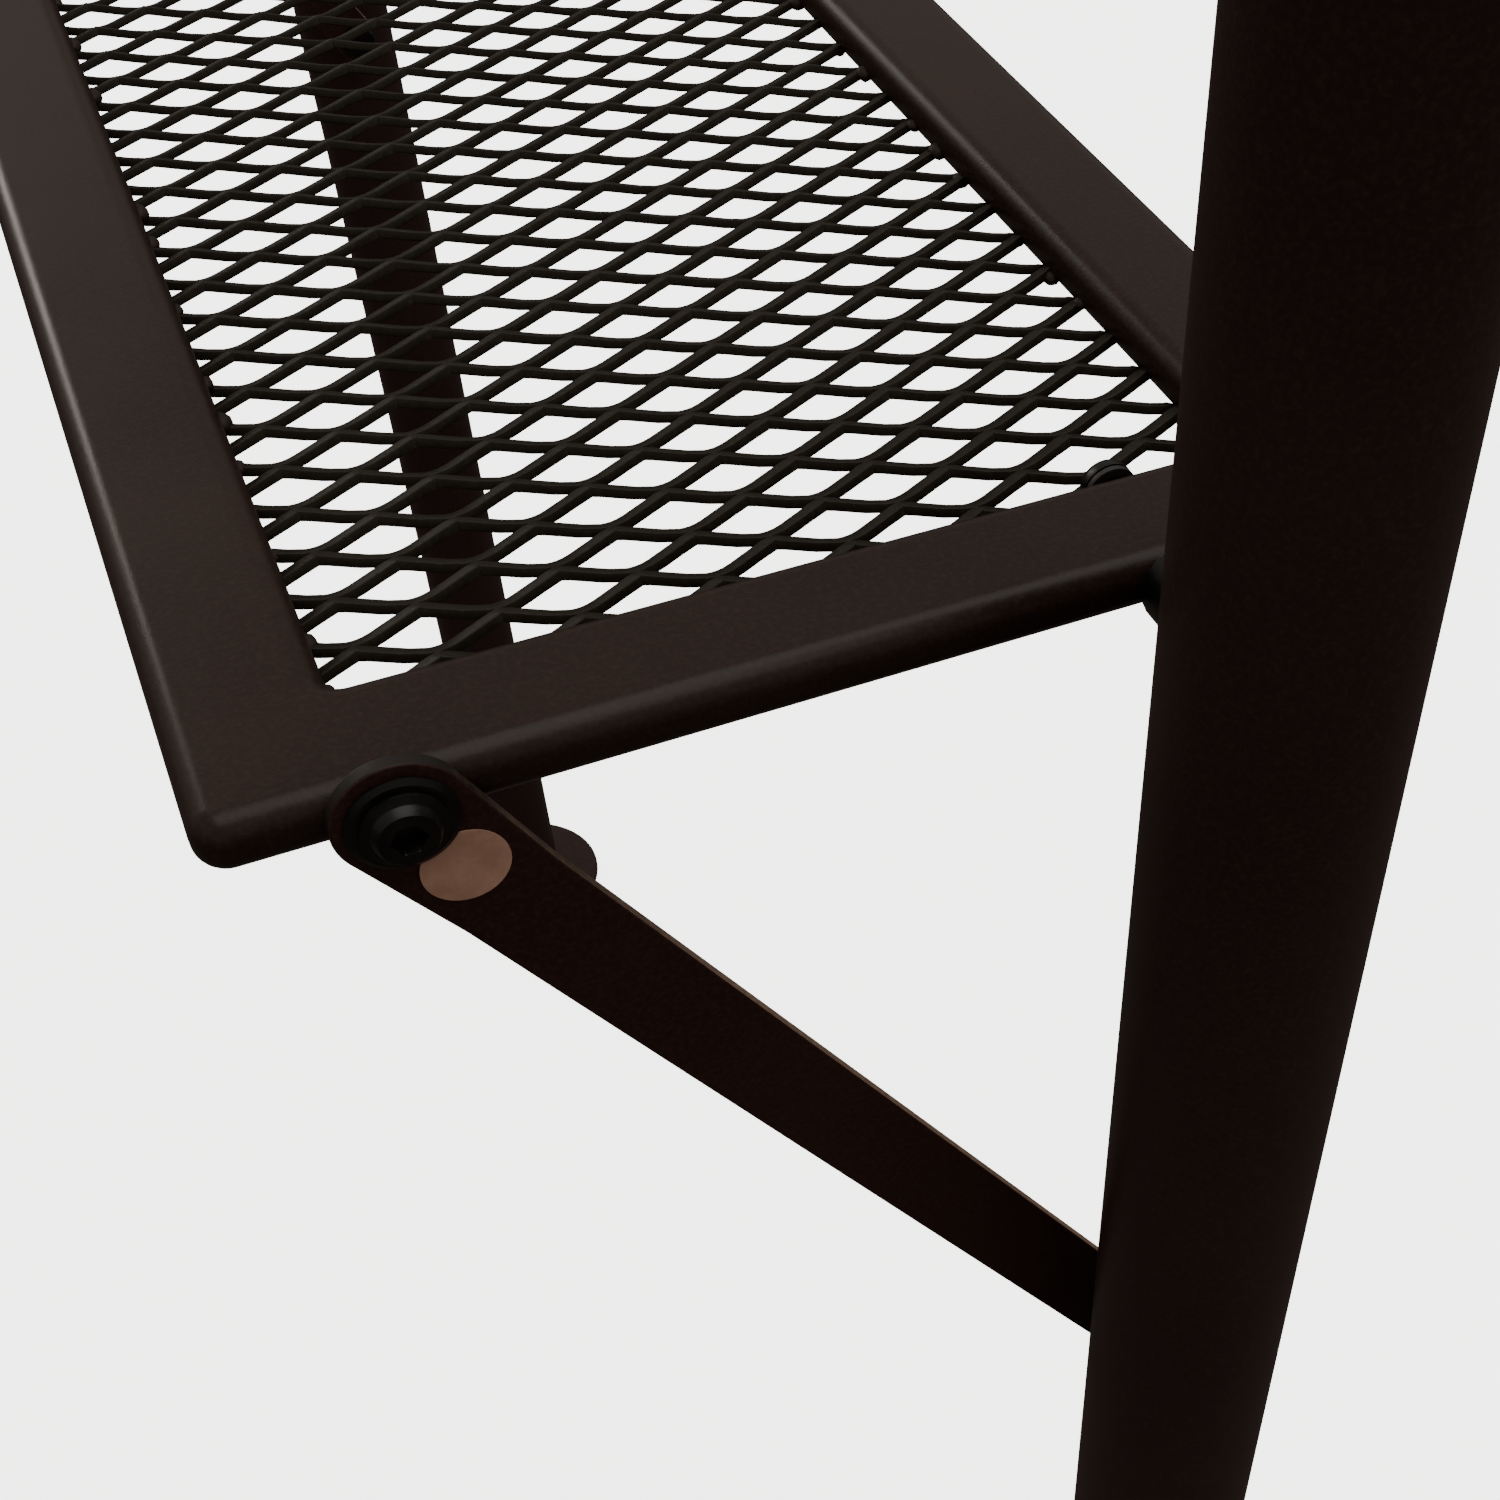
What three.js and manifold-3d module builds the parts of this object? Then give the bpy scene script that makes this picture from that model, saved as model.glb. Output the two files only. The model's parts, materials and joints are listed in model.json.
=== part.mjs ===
// Folding side table: a long expanded-metal tray that tips up between two round posts.
// Millimetres, +Z up. The origin is on the floor, under the middle of the tray.
// The tray's long side runs along Y; "near" is the -Y end and "far" the +Y end.

import * as THREE from 'three';
import { mergeVertices } from 'three/addons/utils/BufferGeometryUtils.js';
import Module from 'manifold-3d';

const wasm = await Module();
wasm.setup();

// Driving dimensions.
const trayWidth = 226;
const trayLength = 800;
const trayTop = 865.5;
const postDiameter = 45;
const postTop = 1060;
const postInset = 54; // from the tray's inner long edge to the post's centre line
const gap = 0.3; // between pieces that touch

// The tray's frame: a rounded rectangular tube, mitred at the corners.
const railWidth = 27.5;
const railHeight = 11;
const railWall = 1.2;
const railRounding = 4.5;
const cornerRounding = 3.2;
const railMiddle = trayTop - railHeight / 2;

// Expanded metal in the frame, with every second opening of the real pitch.
const longPitch = 25.4 * 2;
const shortPitch = 14.5 * 2;
const strandWidth = 4.6;
const panelThickness = 1.6;
const panelDrop = 8.5; // from the top of the frame to the middle of the panel

// Posts and feet.
const postWall = 1.5;
const postRadius = postDiameter / 2;
const boreRadius = postRadius - postWall;
const postX = trayWidth / 2 - postInset;
const postGap = 12.5; // between the tray's end and the post
const postY = trayLength / 2 + postGap + postRadius;
const padThickness = 3;
const padRadius = 48;
const plateThickness = 5;
const plateRadius = 50;
const plateBottom = padThickness + gap;
const postBottom = plateBottom + plateThickness + gap;
const capHeight = 6;
const capPlug = 20;

// Tray pivots.
const pivotBoltRadius = 3;
const pivotHeadRadius = 5.2;
const pivotHeadHeight = 3.4;
const spacerRadius = 9;
const thinWasherRadius = 5.2;
const thinWasher = 1.2;
const headNotch = 12; // cut-out in the panel for each pivot bolt's head
const nutRadius = 7;
const nutLength = 8;
const pivotBoltEnd = trayLength / 2 + postGap + postWall + nutLength + 2;

// Braces: flat bars that hang on the tray's ends and stand on a screw in each post.
const braceX = -82.2;
const braceAngle = THREE.MathUtils.degToRad(58.9); // below +X
const braceLength = (postX - braceX) / Math.cos(braceAngle);
const braceWidth = 20;
const braceEye = 11.2;
const braceTaper = 27; // from the eye's centre to where the bar has its full width
const braceCorner = 3;
const braceThickness = 3;
const braceGap = 0.5; // between the tray's end and the bar
const braceBoltRadius = 3;
const washerRadius = 9.4;
const washerThickness = 1.2;
const headFlangeRadius = 7;
const headFlange = 1.2;
const headDomeRadius = 6.2;
const headDome = 2.8;
const socketRadius = 2.6;
const socketDepth = 2.4;
const blockWidth = 14; // threaded block in the tray's end
const blockLength = 14;
const restZ = railMiddle - (postX - braceX) * Math.tan(braceAngle);

// The open notch at the bar's foot, and the shoulder screw it stands on.
const shoulderRadius = 5;
const notchReach = shoulderRadius + gap; // from the screw's centre to the notch's two walls
const notchLip = 12; // bar beyond the screw's centre
const restHeadRadius = 8;
const restHead = 3;
const collarRadius = 6.5;
const threadRadius = 4;

// Paper label on each bar, partly under the washer.
const labelRadius = 7.5;
const labelOffset = 15.2;
const labelThickness = 0.2;
const labelGap = 0.1;

const round = 24; // sides of a turned piece
const wide = 36; // sides of a post, cap or foot

function finish(color, roughness, metalness) {
  return new THREE.MeshStandardMaterial({ color, roughness, metalness });
}

const coat = () => finish(0x2b211d, 0.5, 0.3);
const blackSteel = () => finish(0x141212, 0.4, 0.6);
const zinc = () => finish(0x8c8c88, 0.35, 0.9);
const plastic = () => finish(0x15130f, 0.55, 0);
const rubber = () => finish(0x0f0f0f, 0.9, 0);
const paper = () => finish(0x9c7666, 0.8, 0);

const table = new THREE.Group();

function add(name, geometry, material, parent = table) {
  const mesh = new THREE.Mesh(geometry, material);
  mesh.name = name;
  parent.add(mesh);
  return mesh;
}

// Booleans.
function toSolid(geometry) {
  const bare = geometry.clone();
  bare.deleteAttribute('normal');
  bare.deleteAttribute('uv');
  const merged = mergeVertices(bare, 1e-4);
  return new wasm.Manifold(new wasm.Mesh({
    numProp: 3,
    vertProperties: new Float32Array(merged.attributes.position.array),
    triVerts: new Uint32Array(merged.index.array),
  }));
}

function toGeometry(solid) {
  const { vertProperties, triVerts } = solid.getMesh();
  const geometry = new THREE.BufferGeometry();
  geometry.setAttribute('position', new THREE.BufferAttribute(vertProperties, 3));
  geometry.setIndex(new THREE.BufferAttribute(triVerts, 1));
  const flat = geometry.toNonIndexed();
  flat.computeVertexNormals();
  return flat;
}

function cut(geometry, ...tools) {
  let solid = toSolid(geometry);
  for (const tool of tools) solid = solid.subtract(toSolid(tool));
  return toGeometry(solid);
}

function keep(geometry, ...tools) {
  let solid = toSolid(geometry);
  for (const tool of tools) solid = solid.intersect(toSolid(tool));
  return toGeometry(solid);
}

// A turned piece: [radius, height] points, with the first and last on the axis, about +Y.
function turned(points, sides = round) {
  return new THREE.LatheGeometry(points.map(([r, h]) => new THREE.Vector2(r, h)), sides);
}

// A turned piece with a bore: the outline closes on itself.
function ring(inner, outer, low, high, sides = round) {
  return turned([[inner, low], [outer, low], [outer, high], [inner, high], [inner, low]], sides);
}

function rod(radius, low, high, sides = round) {
  return turned([[0, low], [radius, low], [radius, high], [0, high]], sides);
}

const upright = (geometry) => geometry.rotateX(Math.PI / 2);

function roundedBox(width, height, radius, steps) {
  const shape = new THREE.Shape();
  const [x, y] = [width / 2 - radius, height / 2 - radius];
  shape.absarc(x, y, radius, 0, Math.PI / 2);
  shape.absarc(-x, y, radius, Math.PI / 2, Math.PI);
  shape.absarc(-x, -y, radius, Math.PI, Math.PI * 1.5);
  shape.absarc(x, -y, radius, Math.PI * 1.5, Math.PI * 2);
  return new THREE.Shape(shape.extractPoints(steps).shape);
}

function extruded(shape, depth, curveSegments = 12) {
  return new THREE.ExtrudeGeometry(shape, { depth, bevelEnabled: false, curveSegments });
}

// Geometry that is modelled for the far end, turned round Z for the near end. Both ends are alike
// about the middle of the tray, so the turned piece is moved back to its own X.
function atEnd(side, geometry, x, z) {
  if (side < 0) geometry.rotateZ(Math.PI);
  return geometry.translate(x, 0, z);
}

// Tray frame.
function railTube(length) {
  const outline = roundedBox(railWidth, railHeight, railRounding, 4);
  const inside = roundedBox(
    railWidth - 2 * railWall, railHeight - 2 * railWall, railRounding - railWall, 4);
  outline.holes.push(inside);
  return extruded(outline, length).translate(0, 0, -length / 2);
}

function planPrism(points) {
  const shape = new THREE.Shape(points.map(([x, y]) => new THREE.Vector2(x, y)));
  return extruded(shape, railHeight * 2).translate(0, 0, -railHeight);
}

const trayOutline = extruded(roundedBox(trayWidth, trayLength, cornerRounding, 3), railHeight * 2)
  .translate(0, 0, -railHeight);

const trayBody = new THREE.Group();
trayBody.position.z = railMiddle;
table.add(trayBody);

function longRail(name, side) {
  const x = side * (trayWidth - railWidth) / 2;
  const tube = railTube(trayLength).rotateX(Math.PI / 2).translate(x, 0, 0);
  const half = trayLength / 2 - gap / 2;
  const mitre = planPrism([
    [side * trayWidth / 2, -half * side],
    [side * trayWidth / 2, half * side],
    [side * (trayWidth / 2 - railWidth), (half - railWidth) * side],
    [side * (trayWidth / 2 - railWidth), -(half - railWidth) * side],
  ]);
  add(name, keep(tube, mitre, trayOutline), coat(), trayBody);
}

function endRail(name, side) {
  const y = side * (trayLength - railWidth) / 2;
  const tube = railTube(trayWidth).rotateY(Math.PI / 2).rotateX(Math.PI / 2).translate(0, y, 0);
  const half = trayWidth / 2 - gap / 2;
  const mitre = planPrism([
    [half * side, side * trayLength / 2],
    [-half * side, side * trayLength / 2],
    [-(half - railWidth) * side, side * (trayLength / 2 - railWidth)],
    [(half - railWidth) * side, side * (trayLength / 2 - railWidth)],
  ]);
  const middle = trayLength / 2 - railWidth;
  const pivotHole = rod(pivotBoltRadius + gap, middle - 1, trayLength / 2 + 1);
  const braceHole = rod(braceBoltRadius + gap, trayLength / 2 - railWall * 3, trayLength / 2 + 1);
  const solid = keep(tube, mitre, trayOutline);
  const drilled = cut(solid, atEnd(side, pivotHole, postX, 0), atEnd(side, braceHole, braceX, 0));
  add(name, drilled, coat(), trayBody);
}

longRail('outer_rail', -1);
longRail('inner_rail', 1);
endRail('near_rail', -1);
endRail('far_rail', 1);

// Expanded-metal panel, welded inside the frame.
function meshPanel() {
  const width = trayWidth - 2 * (railWidth + gap);
  const length = trayLength - 2 * (railWidth + gap);
  const slope = Math.hypot(longPitch, shortPitch);
  const holeX = longPitch / 2 - strandWidth * slope / shortPitch / 2;
  const holeY = shortPitch / 2 - strandWidth * slope / longPitch / 2;
  const diamond = extruded(new THREE.Shape([
    new THREE.Vector2(-holeX, 0),
    new THREE.Vector2(0, -holeY),
    new THREE.Vector2(holeX, 0),
    new THREE.Vector2(0, holeY),
  ]), panelThickness * 2).translate(0, 0, -panelThickness);
  const openings = [];
  const columns = Math.floor(width / longPitch);
  const rows = Math.floor(length / shortPitch);
  for (let row = -rows; row <= rows; row++) {
    for (let column = -columns; column <= columns; column++) {
      const x = column * longPitch / 2;
      const y = row * shortPitch / 2;
      const fits = Math.abs(x) + holeX < width / 2 && Math.abs(y) + holeY < length / 2;
      if ((row + column) % 2 || !fits) continue;
      openings.push(diamond.clone().translate(x, y, 0));
    }
  }
  for (const side of [-1, 1]) {
    const notch = new THREE.BoxGeometry(headNotch, headNotch * 1.5, panelThickness * 2);
    openings.push(notch.translate(postX, side * length / 2, 0));
  }
  const sheet = new THREE.BoxGeometry(width, length, panelThickness);
  const panel = add('mesh_panel', cut(sheet, ...openings), coat(), trayBody);
  panel.position.z = trayTop - panelDrop - railMiddle;
}

meshPanel();

// Everything below is made once for each end.
const ends = [['near', -1], ['far', 1]];

function postAndFoot(label, side) {
  const group = new THREE.Group();
  group.position.set(postX, side * postY, 0);
  table.add(group);

  const tube = upright(ring(boreRadius, postRadius, postBottom, postTop, wide));
  const wallHole = (z, radius) => atEnd(-side, rod(radius, 0, postRadius + 1), 0, z);
  const holes = [
    wallHole(railMiddle, pivotBoltRadius + gap),
    wallHole(restZ, threadRadius + gap),
  ];
  add(`${label}_post`, cut(tube, ...holes), coat(), group);

  const plug = boreRadius - gap;
  const capBase = postTop + gap;
  const cap = turned([
    [0, postTop - capPlug],
    [plug, postTop - capPlug],
    [plug, capBase],
    [postRadius, capBase],
    [postRadius, capBase + capHeight * 0.5],
    [postRadius * 0.93, capBase + capHeight * 0.8],
    [postRadius * 0.78, capBase + capHeight * 0.95],
    [0, capBase + capHeight],
  ], wide);
  add(`${label}_post_cap`, upright(cap), plastic(), group);

  const plateTop = plateBottom + plateThickness;
  const plate = turned([
    [0, plateBottom],
    [plateRadius, plateBottom],
    [plateRadius, plateTop - 1.5],
    [plateRadius - 0.5, plateTop - 0.4],
    [plateRadius - 1.5, plateTop],
    [0, plateTop],
  ], wide);
  add(`${label}_foot_plate`, upright(plate), coat(), group);
  add(`${label}_foot_pad`, upright(rod(padRadius, 0, padThickness, wide)), rubber(), group);
}

// Pieces on the tray's pivot: they stay on the post, and the tray turns on the bolt.
function pivot(label, side) {
  const endFace = trayLength / 2;
  const innerFace = endFace - railWidth;
  const place = (geometry) => atEnd(side, geometry, postX, railMiddle);
  const postCore = (radius) => upright(rod(radius, 0, postTop, wide))
    .translate(postX, side * postY, 0);

  const headFace = innerFace - gap - thinWasher - gap;
  const bolt = turned([
    [0, headFace - pivotHeadHeight],
    [pivotHeadRadius * 0.55, headFace - pivotHeadHeight],
    [pivotHeadRadius * 0.85, headFace - pivotHeadHeight * 0.8],
    [pivotHeadRadius, headFace - pivotHeadHeight * 0.35],
    [pivotHeadRadius, headFace],
    [pivotBoltRadius, headFace],
    [pivotBoltRadius, pivotBoltEnd],
    [0, pivotBoltEnd],
  ]);
  add(`${label}_pivot_bolt`, place(bolt), blackSteel());

  const bore = pivotBoltRadius + gap;
  const washer = ring(bore, thinWasherRadius, headFace + gap, innerFace - gap);
  add(`${label}_pivot_washer`, place(washer), plastic());

  const spacer = place(ring(bore, spacerRadius, endFace + gap, endFace + postGap + 3));
  add(`${label}_pivot_spacer`, cut(spacer, postCore(postRadius + gap)), blackSteel());

  const wallInside = endFace + postGap + postWall;
  const nut = place(ring(bore, nutRadius, wallInside, wallInside + nutLength));
  add(`${label}_pivot_nut`, keep(nut, postCore(boreRadius - gap)), zinc());
}

// The shoulder screw that the bar's foot stands on, with its collar and nut.
function braceRest(label, side) {
  const endFace = trayLength / 2;
  const place = (geometry) => atEnd(side, geometry, postX, restZ);
  const postCore = (radius) => upright(rod(radius, 0, postTop, wide))
    .translate(postX, side * postY, 0);
  const shoulderEnd = endFace + braceGap + braceThickness + gap;

  const screw = turned([
    [0, endFace - restHead],
    [restHeadRadius - 1, endFace - restHead],
    [restHeadRadius, endFace - restHead + 1],
    [restHeadRadius, endFace],
    [shoulderRadius, endFace],
    [shoulderRadius, shoulderEnd],
    [threadRadius, shoulderEnd],
    [threadRadius, pivotBoltEnd],
    [0, pivotBoltEnd],
  ]);
  add(`${label}_rest_screw`, place(screw), blackSteel());

  const bore = threadRadius + gap;
  const collar = place(ring(bore, collarRadius, shoulderEnd + gap, endFace + postGap + 3));
  add(`${label}_rest_collar`, cut(collar, postCore(postRadius + gap)), blackSteel());

  const wallInside = endFace + postGap + postWall;
  const nut = place(ring(bore, nutRadius, wallInside, wallInside + nutLength));
  add(`${label}_rest_nut`, keep(nut, postCore(boreRadius - gap)), zinc());
}

// Outline of a bar along +X from the bolt's eye, with its upper side towards +Y.
function braceShape() {
  const half = braceWidth / 2;
  const end = braceLength + notchLip;
  const shape = new THREE.Shape();
  shape.absarc(0, 0, braceEye, Math.PI / 2, Math.PI * 1.5);
  shape.lineTo(braceTaper, -half);
  shape.lineTo(end - braceCorner, -half);
  shape.quadraticCurveTo(end, -half, end, -half + braceCorner);
  shape.lineTo(end, half - braceCorner);
  shape.quadraticCurveTo(end, half, end - braceCorner, half);
  shape.lineTo(braceTaper, half);
  shape.lineTo(0, braceEye);
  const eye = new THREE.Path();
  eye.absarc(0, 0, braceBoltRadius + gap, 0, Math.PI * 2, true);
  shape.holes.push(eye);
  return shape;
}

// The notch at the foot: a level wall over the screw and an upright one beside it, so that the bar
// stands on the screw and comes off it down and away from the tray's free edge.
function footNotch() {
  const reach = braceWidth * 2;
  const notch = new THREE.BoxGeometry(reach, reach, braceThickness * 3)
    .translate(reach / 2 - notchReach, notchReach - reach / 2, 0)
    .rotateZ(braceAngle);
  return notch.translate(braceLength, 0, braceThickness / 2);
}

function brace(label, side) {
  const group = new THREE.Group();
  const outerFace = side * (trayLength / 2 + braceGap + braceThickness / 2) + braceThickness / 2;
  group.position.set(braceX, outerFace, railMiddle);
  group.rotation.y = braceAngle;
  table.add(group);

  const bar = cut(extruded(braceShape(), braceThickness), footNotch());
  add(`${label}_brace`, bar.rotateX(Math.PI / 2), coat(), group);

  const paperDisc = upright(rod(labelRadius, 0, labelThickness, wide)).translate(labelOffset, 0, 0);
  const washerSpace = upright(rod(washerRadius + gap, -1, 1, wide));
  const disc = cut(paperDisc, washerSpace).rotateX(Math.PI / 2);
  const onFace = side > 0 ? labelGap + labelThickness : -braceThickness - labelGap;
  disc.translate(0, onFace, 0);
  add(`${label}_brace_label`, disc, paper(), group);
}

// The bolt that the bar swings on, its washer, and the threaded block inside the tray's end.
function braceBolt(label, side) {
  const face = trayLength / 2 + braceGap + braceThickness;
  const washerTop = face + gap + washerThickness;
  const headFace = washerTop + gap;
  const headTop = headFace + headFlange + headDome;
  const boltEnd = trayLength / 2 - blockLength - railRounding;
  const place = (geometry) => atEnd(side, geometry, braceX, railMiddle);

  const bolt = turned([
    [0, boltEnd],
    [braceBoltRadius, boltEnd],
    [braceBoltRadius, headFace],
    [headFlangeRadius, headFace],
    [headFlangeRadius, headFace + headFlange],
    [headDomeRadius, headFace + headFlange],
    [headDomeRadius * 0.9, headFace + headFlange + headDome * 0.55],
    [headDomeRadius * 0.66, headFace + headFlange + headDome * 0.9],
    [socketRadius, headTop],
    [socketRadius, headTop - socketDepth],
    [0, headTop - socketDepth],
  ]);
  add(`${label}_brace_bolt`, place(bolt), blackSteel());

  const washer = ring(braceBoltRadius + gap, washerRadius, face + gap, washerTop);
  add(`${label}_brace_washer`, place(washer), blackSteel());

  const inside = railHeight - 2 * railWall - 2 * gap;
  const blockEnd = trayLength / 2 - railWall - gap;
  const block = new THREE.BoxGeometry(blockWidth, blockLength, inside)
    .translate(0, blockEnd - blockLength / 2 - railRounding + railWall, 0);
  const drilled = cut(block, rod(braceBoltRadius + gap, boltEnd - railWidth, face));
  add(`${label}_brace_nut`, place(drilled), zinc());
}

for (const [label, side] of ends) {
  postAndFoot(label, side);
  pivot(label, side);
  braceRest(label, side);
  brace(label, side);
  braceBolt(label, side);
}

export default table;
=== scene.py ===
import json
import math
import random

import bmesh
import bpy
from mathutils import Matrix, Vector, noise


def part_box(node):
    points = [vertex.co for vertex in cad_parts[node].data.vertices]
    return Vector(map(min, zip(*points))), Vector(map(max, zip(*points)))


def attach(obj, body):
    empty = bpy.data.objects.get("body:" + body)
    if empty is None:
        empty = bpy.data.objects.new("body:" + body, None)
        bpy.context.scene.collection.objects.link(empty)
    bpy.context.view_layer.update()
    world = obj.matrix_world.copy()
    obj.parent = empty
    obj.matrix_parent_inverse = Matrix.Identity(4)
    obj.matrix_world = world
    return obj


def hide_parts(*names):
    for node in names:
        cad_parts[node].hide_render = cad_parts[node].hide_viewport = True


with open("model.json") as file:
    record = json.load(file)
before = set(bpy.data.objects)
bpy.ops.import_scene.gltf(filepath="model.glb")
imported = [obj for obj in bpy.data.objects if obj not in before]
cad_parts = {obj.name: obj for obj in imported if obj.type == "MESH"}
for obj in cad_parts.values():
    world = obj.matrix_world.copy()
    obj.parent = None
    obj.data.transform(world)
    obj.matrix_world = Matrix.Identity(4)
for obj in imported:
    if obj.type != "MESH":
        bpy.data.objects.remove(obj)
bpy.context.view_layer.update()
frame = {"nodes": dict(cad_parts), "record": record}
mm = 0.001
ends = (("near", -1), ("far", 1))
jointPos = {j["name"]: Vector(j["pos_m"]) for j in frame["record"]["behaviour"]["joints"]}
pivotPos = jointPos["tray_fold"]
print("frame loaded:", len(frame["nodes"]), "nodes")


class Wire:
    # one output socket; + - * on it add Math nodes
    def __init__(self, tree, socket):
        self.tree, self.socket = tree, socket

    def math(self, kind, a, b=0.0):
        return self.tree.node("ShaderNodeMath", {"operation": kind}, {0: a, 1: b})

    def __add__(self, other):
        return self.math("ADD", self, other)

    def __radd__(self, other):
        return self.math("ADD", other, self)

    def __sub__(self, other):
        return self.math("SUBTRACT", self, other)

    def __rsub__(self, other):
        return self.math("SUBTRACT", other, self)

    def __mul__(self, other):
        return self.math("MULTIPLY", self, other)

    def __rmul__(self, other):
        return self.math("MULTIPLY", other, self)


class Tree:
    # one material and its nodes
    def __init__(self, name):
        self.material = bpy.data.materials.new(name)
        self.material.use_nodes = True
        self.nodes = self.material.node_tree.nodes
        self.links = self.material.node_tree.links
        self.shader = self.nodes["Principled BSDF"]

    def put(self, socket, value):
        if isinstance(value, Wire):
            self.links.new(value.socket, socket)
        else:
            socket.default_value = value

    def node(self, kind, settings=None, sockets=None, output=0):
        made = self.nodes.new(kind)
        for key, value in (settings or {}).items():
            if key == "stops":
                ramp = made.color_ramp.elements
                while len(ramp) < len(value):
                    ramp.new(0.5)
                for element, (place, colour) in zip(ramp, value):
                    element.position = place
                    element.color = (*colour, 1.0) if isinstance(colour, tuple) else (colour,) * 3 + (1.0,)
            else:
                setattr(made, key, value)
        for key, value in (sockets or {}).items():
            self.put(made.inputs[key], value)
        return Wire(self, made.outputs[output])

    def coords(self):
        return self.node("ShaderNodeTexCoord", output="Object")

    def noise(self, place, scale, detail=2.0, rough=0.5):
        return self.node("ShaderNodeTexNoise", {},
                         {"Vector": place, "Scale": scale, "Detail": detail, "Roughness": rough})

    def ramp(self, value, *stops):
        return self.node("ShaderNodeValToRGB", {"stops": stops}, {"Fac": value})

    def mix(self, amount, a, b):
        a = a if isinstance(a, Wire) else (*a, 1.0)
        b = b if isinstance(b, Wire) else (*b, 1.0)
        return self.node("ShaderNodeMix", {"data_type": "RGBA"}, {0: amount, 6: a, 7: b}, output=2)

    def bump(self, height, strength, distance):
        return self.node("ShaderNodeBump", {}, {"Height": height, "Strength": strength, "Distance": distance})

    def fill(self, **sockets):
        for key, value in sockets.items():
            self.put(self.shader.inputs[key.replace("_", " ")], value)
        return self.material


coatLook = {
    "frame": {"base": (0.0165, 0.0086, 0.0062), "warm": (0.025, 0.014, 0.0098), "rough": 0.34, "gloss": 0.20},
    "post": {"base": (0.0240, 0.0116, 0.0104), "warm": (0.0330, 0.0170, 0.0150), "rough": 0.44, "gloss": 0.22},
    "brace": {"base": (0.0290, 0.0126, 0.0110), "warm": (0.040, 0.018, 0.0155), "rough": 0.46, "gloss": 0.16},
    "mesh": {"base": (0.0100, 0.0076, 0.0044), "warm": (0.0170, 0.0130, 0.0082), "rough": 0.46, "gloss": 0.20},
    "weld": {"base": (0.0150, 0.0085, 0.0064), "warm": (0.0260, 0.0150, 0.0110), "rough": 0.56, "gloss": 0.20},
}


def powderCoat(name):
    look = coatLook[name]
    t = Tree(name + "Coat")
    place = t.coords()
    cloud = t.noise(place, 9.0, 4.0, 0.6)
    speck = t.noise(place, 900.0, 2.0, 0.6)
    peel = t.noise(place, 1500.0, 2.0, 0.55)
    scuff = t.ramp(t.noise(place, 60.0, 6.0, 0.75), (0.60, 0.0), (0.74, 1.0))
    tone = t.mix(t.ramp(cloud, (0.35, 0.0), (0.68, 1.0)), look["base"], look["warm"])
    grain = t.mix(t.ramp(speck, (0.45, 0.0), (0.75, 0.35)), tone, tuple(2.2 * c for c in look["warm"]))
    colour = t.mix(scuff * 0.18, grain, tuple(2.6 * c for c in look["warm"]))
    rough = look["rough"] + (cloud - 0.5) * 0.22 + (speck - 0.5) * 0.12
    height = peel * 0.7 + speck * 0.3
    return t.fill(Base_Color=colour, Roughness=rough, Metallic=0.0, Specular_IOR_Level=look["gloss"],
                  Normal=t.bump(height, 0.35, 0.00012))


# edge colours: brown and pale stand partly for worn coat and partly for a painted highlight on the bar's edge
edgeLook = {"dark": (0.014, 0.010, 0.008), "brown": (0.260, 0.165, 0.115), "pale": (0.420, 0.280, 0.200),
            "from": -0.072, "to": -0.030}


def braceEdgeWearAndHighlight():
    # the bar's narrow edge: dark round the eye, brown further along; the brown is partly worn coat and partly
    # a painted highlight where the edge catches light
    t = Tree("braceEdgeWearAndHighlightCoat")
    place = t.coords()
    along = t.node("ShaderNodeSeparateXYZ", {}, {0: place})
    cloud = t.noise(place, 70.0, 5.0, 0.7)
    grit = t.noise(place, 700.0, 3.0, 0.6)
    reach = t.node("ShaderNodeMapRange", {}, {"Value": along + (cloud - 0.5) * 0.03,
                                              "From Min": edgeLook["from"], "From Max": edgeLook["to"]})
    brown = t.mix(t.ramp(grit, (0.35, 0.0), (0.70, 1.0)), edgeLook["brown"], edgeLook["pale"])
    # painted highlight: the brown mixed in along the edge is partly light on the edge and partly worn coat
    colour = t.mix(reach, edgeLook["dark"], brown)
    return t.fill(Base_Color=colour, Roughness=0.5 + (grit - 0.5) * 0.2, Specular_IOR_Level=0.25,
                  Normal=t.bump(grit, 0.35, 0.0001))


def blackSteel():
    t = Tree("blackSteel")
    place = t.coords()
    cloud = t.noise(place, 160.0, 4.0, 0.6)
    fine = t.noise(place, 1400.0, 2.0, 0.5)
    colour = t.mix(t.ramp(cloud, (0.4, 0.0), (0.7, 1.0)), (0.0035, 0.0032, 0.0030), (0.0085, 0.0078, 0.0070))
    return t.fill(Base_Color=colour, Roughness=0.34 + (cloud - 0.5) * 0.3, Metallic=0.0,
                  Specular_IOR_Level=0.3, Normal=t.bump(fine, 0.25, 0.0001))


def zincPlate():
    t = Tree("zincPlate")
    place = t.coords()
    cloud = t.noise(place, 220.0, 4.0, 0.6)
    colour = t.mix(cloud, (0.42, 0.42, 0.40), (0.62, 0.62, 0.58))
    return t.fill(Base_Color=colour, Roughness=0.3 + cloud * 0.2, Metallic=1.0)


def mouldedPlastic():
    t = Tree("mouldedPlastic")
    place = t.coords()
    grain = t.noise(place, 1100.0, 3.0, 0.6)
    cloud = t.noise(place, 40.0, 3.0, 0.6)
    colour = t.mix(cloud, (0.010, 0.009, 0.009), (0.020, 0.018, 0.017))
    return t.fill(Base_Color=colour, Roughness=0.5 + (grain - 0.5) * 0.2, Normal=t.bump(grain, 0.4, 0.0001))


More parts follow.
